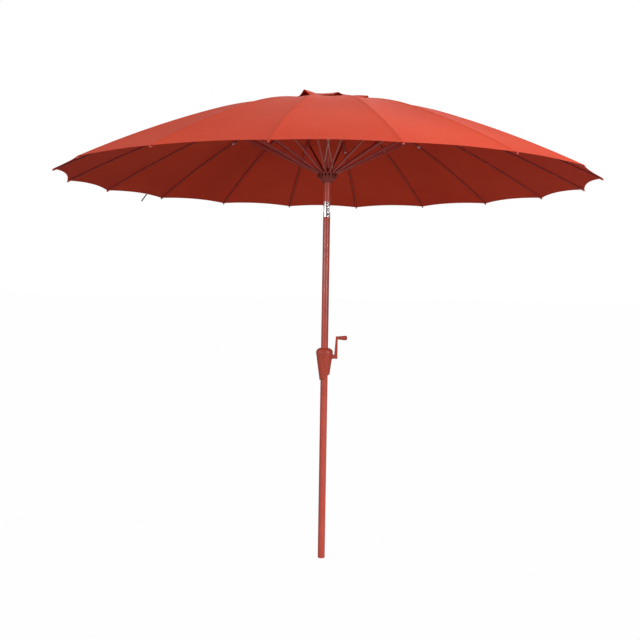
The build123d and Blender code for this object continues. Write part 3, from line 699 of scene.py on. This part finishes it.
def ring_tube(path, radius, sides=12):
    """A round section carried along a path, with closed ends, and its UV pairs.

    Each point is the path's point plus the radius times the cosine and sine of an angle along
    two directions square to the path.
    """
    path = np.asarray(path, float)
    along = np.gradient(path, axis=0)
    along /= np.linalg.norm(along, axis=1, keepdims=True)
    across = np.cross(along, np.array([0.0, 1.0, 0.0]))
    across /= np.linalg.norm(across, axis=1, keepdims=True)
    other = np.cross(along, across)
    turn = np.arange(sides) * 2 * math.pi / sides
    cosine, sine = np.cos(turn)[None, :, None], np.sin(turn)[None, :, None]
    ring = cosine * across[:, None] + sine * other[:, None]
    points = (path[:, None] + radius * ring).reshape(-1, 3)
    faces = grid_faces(len(path), sides, True, True).tolist()
    last = (len(path) - 1) * sides
    faces.append(list(range(sides)))
    faces.append(list(range(last, last + sides))[::-1])
    run = np.concatenate([[0.0], np.cumsum(np.linalg.norm(np.diff(path, axis=0), axis=1))])
    uv = np.stack(np.broadcast_arrays(turn[None, :] * radius, run[:, None]), axis=-1).reshape(-1, 2)
    return points, faces, uv


def spline_points(route):
    """Points of a NURBS spline whose control points are the route."""
    curve = bpy.data.curves.new("route", "CURVE")
    curve.dimensions = "3D"
    curve.resolution_u = 12
    spline = curve.splines.new("NURBS")
    spline.points.add(len(route) - 1)
    spline.points.foreach_set("co", np.c_[np.array(route), np.ones(len(route))].ravel())
    spline.order_u = 3
    spline.use_endpoint_u = True
    holder = bpy.data.objects.new("route", curve)
    mesh = bpy.data.meshes.new_from_object(holder)
    points = np.array([v.co for v in mesh.vertices], float)
    bpy.data.objects.remove(holder)
    bpy.data.meshes.remove(mesh)
    bpy.data.curves.remove(curve)
    return points


class UMBRELLA_OT_cords(bpy.types.Operator):
    """Make the two taut cord strands between the hub and the runner"""

    bl_idname = "umbrella.cords"
    bl_label = "Cords"

    def execute(self, context):
        finish = context.scene.umbrella_finish
        braid = braid_finish("cord_braid", finish.cord, CORD_BRAID, CORD_RIDGE)
        for name, route in CORD_ROUTES.items():
            path = spline_points(route)
            points, faces, uv = ring_tube(path, CORD_RADIUS)
            strand = mesh_object(name, points, faces, uv, sharp=math.radians(50))
            strand.data.materials.append(braid)
            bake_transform(strand)
            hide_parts("pull_cord")
        return {"FINISHED"}


class UMBRELLA_OT_tie_strap(bpy.types.Operator):
    """Make the short webbing tail that ties the closed canopy"""

    bl_idname = "umbrella.tie_strap"
    bl_label = "Tie Strap"

    def execute(self, context):
        root, tip, side = strap_line()
        share = np.linspace(0, 1, 14)
        bow = np.array([0.0, 0.0, 1.0]) * (STRAP_BOW * np.sin(math.pi * share))[:, None]
        line = root + (tip - root) * share[:, None] + bow
        half = STRAP_WIDTH / 2 * (1 - 0.25 * smooth(share, 0.86, 1.0))
        across = np.linspace(1, -1, 7)
        points = line[:, None] + (half[:, None] * across)[..., None] * side
        cross = STRAP_WIDTH / 2 * across[None, :]
        uv = np.stack(np.broadcast_arrays(cross, STRAP_LENGTH * share[:, None]), axis=-1)
        vertices, faces = thick_sheet(points, STRAP_THICKNESS, False)
        both = np.concatenate([uv.reshape(-1, 2)] * 2)
        strap = mesh_object("tie_strap_web", vertices, faces, both)
        strap.data.materials.append(braid_finish("strap_web", STRAP_TINT, 0.0012, 0.0004))
        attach(strap, "rib_12")
        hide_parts("tie_strap")
        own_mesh(strap)
        return {"FINISHED"}


def strap_line():
    """Root and tip of the strap's middle line, and its width direction, from its solid's box."""
    _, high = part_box("tie_strap")
    out = np.array([math.cos(STRAP_ANGLE), math.sin(STRAP_ANGLE), 0.0])
    side = np.array([-math.sin(STRAP_ANGLE), math.cos(STRAP_ANGLE), 0.0])
    root = out * STRAP_ROOT + np.array([0, 0, high[2] - STRAP_THICKNESS / 2])
    way = out * math.sin(STRAP_LEAN) - np.array([0, 0, math.cos(STRAP_LEAN)])
    tip = root + STRAP_REACH * way
    return root, tip, side


# ---------------------------------------------------------------- finishes of the frame


class UMBRELLA_OT_finishes(bpy.types.Operator):
    """Give every metal and moulded part of the frame its finish"""

    bl_idname = "umbrella.finishes"
    bl_label = "Frame Finishes"

    def execute(self, context):
        tint = context.scene.umbrella_finish
        finishes = {
            "pole_paint": paint_finish("pole_paint", tint.paint),
            "housing_plastic": moulded_finish("housing_plastic", tint.casing, 0.42),
            "hub_plastic": moulded_finish("hub_plastic", tint.hub, 0.5),
            "black_plastic": moulded_finish("black_plastic", (0.03, 0.03, 0.032), 0.5),
            "button_plastic": moulded_finish("button_plastic", (0.05, 0.05, 0.052), 0.35),
            "steel": steel_finish("steel", (0.62, 0.61, 0.60), 0.32, 0.15),
            "tilt_chrome": steel_finish("tilt_chrome", (0.80, 0.80, 0.82), 0.12, 0.3),
            "rib_fibre": rib_finish("rib_fibre", tint.rib, FERRULE_OUT, TIP_OUT),
            "strut_paint": strut_finish("strut_paint", tint.strut, RIVET_OUT, RIVET_HEIGHT),
        }
        slots = {part["node"]: part["material_slot"] for part in frame["record"]["subparts"]}
        for name, node in NODES.items():
            if slots[name] in finishes:
                node.data.materials.clear()
                node.data.materials.append(finishes[slots[name]])
        return {"FINISHED"}


# ---------------------------------------------------------------- stage


def stage_world(scene):
    """A white surround to the camera, and softer light from it on the object."""
    world = bpy.data.worlds.new("studio")
    scene.world = world
    world.use_nodes = True
    tree = world.node_tree
    tree.nodes.clear()
    out = tree.nodes.new("ShaderNodeOutputWorld")
    seen = tree.nodes.new("ShaderNodeBackground")
    light = tree.nodes.new("ShaderNodeBackground")
    seen.inputs["Color"].default_value = (1, 1, 1, 1)
    seen.inputs["Strength"].default_value = 1.0
    light.inputs["Color"].default_value = (1, 1, 1, 1)
    light.inputs["Strength"].default_value = SURROUND_LIGHT
    path = tree.nodes.new("ShaderNodeLightPath")
    mix = tree.nodes.new("ShaderNodeMixShader")
    tree.links.new(path.outputs["Is Camera Ray"], mix.inputs[0])
    tree.links.new(light.outputs[0], mix.inputs[1])
    tree.links.new(seen.outputs[0], mix.inputs[2])
    tree.links.new(mix.outputs[0], out.inputs["Surface"])


def floor_material():
    """Pale floor that looks as light as the surround."""
    made = bpy.data.materials.new("floor")
    made.use_nodes = True
    tree = made.node_tree
    tree.nodes.clear()
    out = tree.nodes.new("ShaderNodeOutputMaterial")
    plain = tree.nodes.new("ShaderNodeBsdfDiffuse")
    plain.inputs["Color"].default_value = (0.30, 0.30, 0.30, 1)
    glow = tree.nodes.new("ShaderNodeEmission")
    glow.inputs["Color"].default_value = (1, 1, 1, 1)
    glow.inputs["Strength"].default_value = FLOOR_GLOW
    path = tree.nodes.new("ShaderNodeLightPath")
    mix = tree.nodes.new("ShaderNodeMixShader")
    tree.links.new(path.outputs["Is Camera Ray"], mix.inputs[0])
    tree.links.new(plain.outputs[0], mix.inputs[1])
    tree.links.new(glow.outputs[0], mix.inputs[2])
    tree.links.new(mix.outputs[0], out.inputs["Surface"])
    return made


def soft_light(name, place, target, size, power):
    lamp = bpy.data.lights.new(name, "AREA")
    lamp.shape = "DISK"
    lamp.size = size
    lamp.energy = power
    made = bpy.data.objects.new(name, lamp)
    bpy.context.scene.collection.objects.link(made)
    way = np.array(target, float) - np.array(place, float)
    made.location = place
    made.rotation_euler = (
        math.atan2(math.hypot(way[0], way[1]), -way[2]),
        0.0,
        math.atan2(-way[0], way[1]),
    )
    return made


class UMBRELLA_OT_stage(bpy.types.Operator):
    """Make the floor, the lights and the camera"""

    bl_idname = "umbrella.stage"
    bl_label = "Stage"

    def execute(self, context):
        scene, view = context.scene, context.scene.umbrella_stage
        scene.view_settings.view_transform = "Standard"
        stage_world(scene)
        mesh = bpy.data.meshes.new("floor")
        reach = FLOOR_REACH
        corners = [(-reach, -reach, 0), (reach, -reach, 0), (reach, reach, 0), (-reach, reach, 0)]
        mesh.from_pydata(corners, [], [(0, 1, 2, 3)])
        mesh.materials.append(floor_material())
        floor = bpy.data.objects.new("floor", mesh)
        scene.collection.objects.link(floor)
        for name, light in LIGHTS.items():
            soft_light(name, *light)
        lens = bpy.data.cameras.new("camera")
        lens.lens = view.lens
        lens.sensor_width = 36.0
        camera = bpy.data.objects.new("camera", lens)
        scene.collection.objects.link(camera)
        turn = (
            Matrix.Rotation(view.pan, 4, "Z")
            @ Matrix.Rotation(math.pi / 2 - view.pitch, 4, "X")
            @ Matrix.Rotation(view.roll, 4, "Z")
        )
        camera.matrix_world = Matrix.Translation((0, -view.distance, view.height)) @ turn
        scene.camera = camera
        return {"FINISHED"}


# ---------------------------------------------------------------- panel and registration

GROUPS = {
    "umbrella_canopy": UMBRELLA_PG_canopy,
    "umbrella_cap": UMBRELLA_PG_cap,
    "umbrella_finish": UMBRELLA_PG_finish,
    "umbrella_stage": UMBRELLA_PG_stage,
}
OPERATORS = (
    UMBRELLA_OT_stage,
    UMBRELLA_OT_cords,
    UMBRELLA_OT_canopy,
    UMBRELLA_OT_vent_cap,
    UMBRELLA_OT_tie_strap,
    UMBRELLA_OT_finishes,
)


class UMBRELLA_PT_panel(bpy.types.Panel):
    """Sizes, colours and makers of the umbrella"""

    bl_label = "Patio Umbrella"
    bl_idname = "UMBRELLA_PT_panel"
    bl_space_type = "VIEW_3D"
    bl_region_type = "UI"
    bl_category = "Umbrella"

    def draw(self, context):
        for name in GROUPS:
            box = self.layout.box()
            group = getattr(context.scene, name)
            for key in group.__annotations__:
                box.prop(group, key)
        for operator in OPERATORS:
            self.layout.operator(operator.bl_idname)


def register():
    for name, group in GROUPS.items():
        bpy.utils.register_class(group)
        setattr(bpy.types.Scene, name, bpy.props.PointerProperty(type=group))
    for item in (*OPERATORS, UMBRELLA_PT_panel):
        bpy.utils.register_class(item)


def unregister():
    for item in (UMBRELLA_PT_panel, *reversed(OPERATORS)):
        bpy.utils.unregister_class(item)
    for name, group in GROUPS.items():
        delattr(bpy.types.Scene, name)
        bpy.utils.unregister_class(group)


def main():
    register()
    bpy.ops.umbrella.stage()
    bpy.ops.umbrella.cords()
    bpy.ops.umbrella.canopy()
    bpy.ops.umbrella.vent_cap()
    bpy.ops.umbrella.tie_strap()
    bpy.ops.umbrella.finishes()


if __name__ == "__main__":
    main()
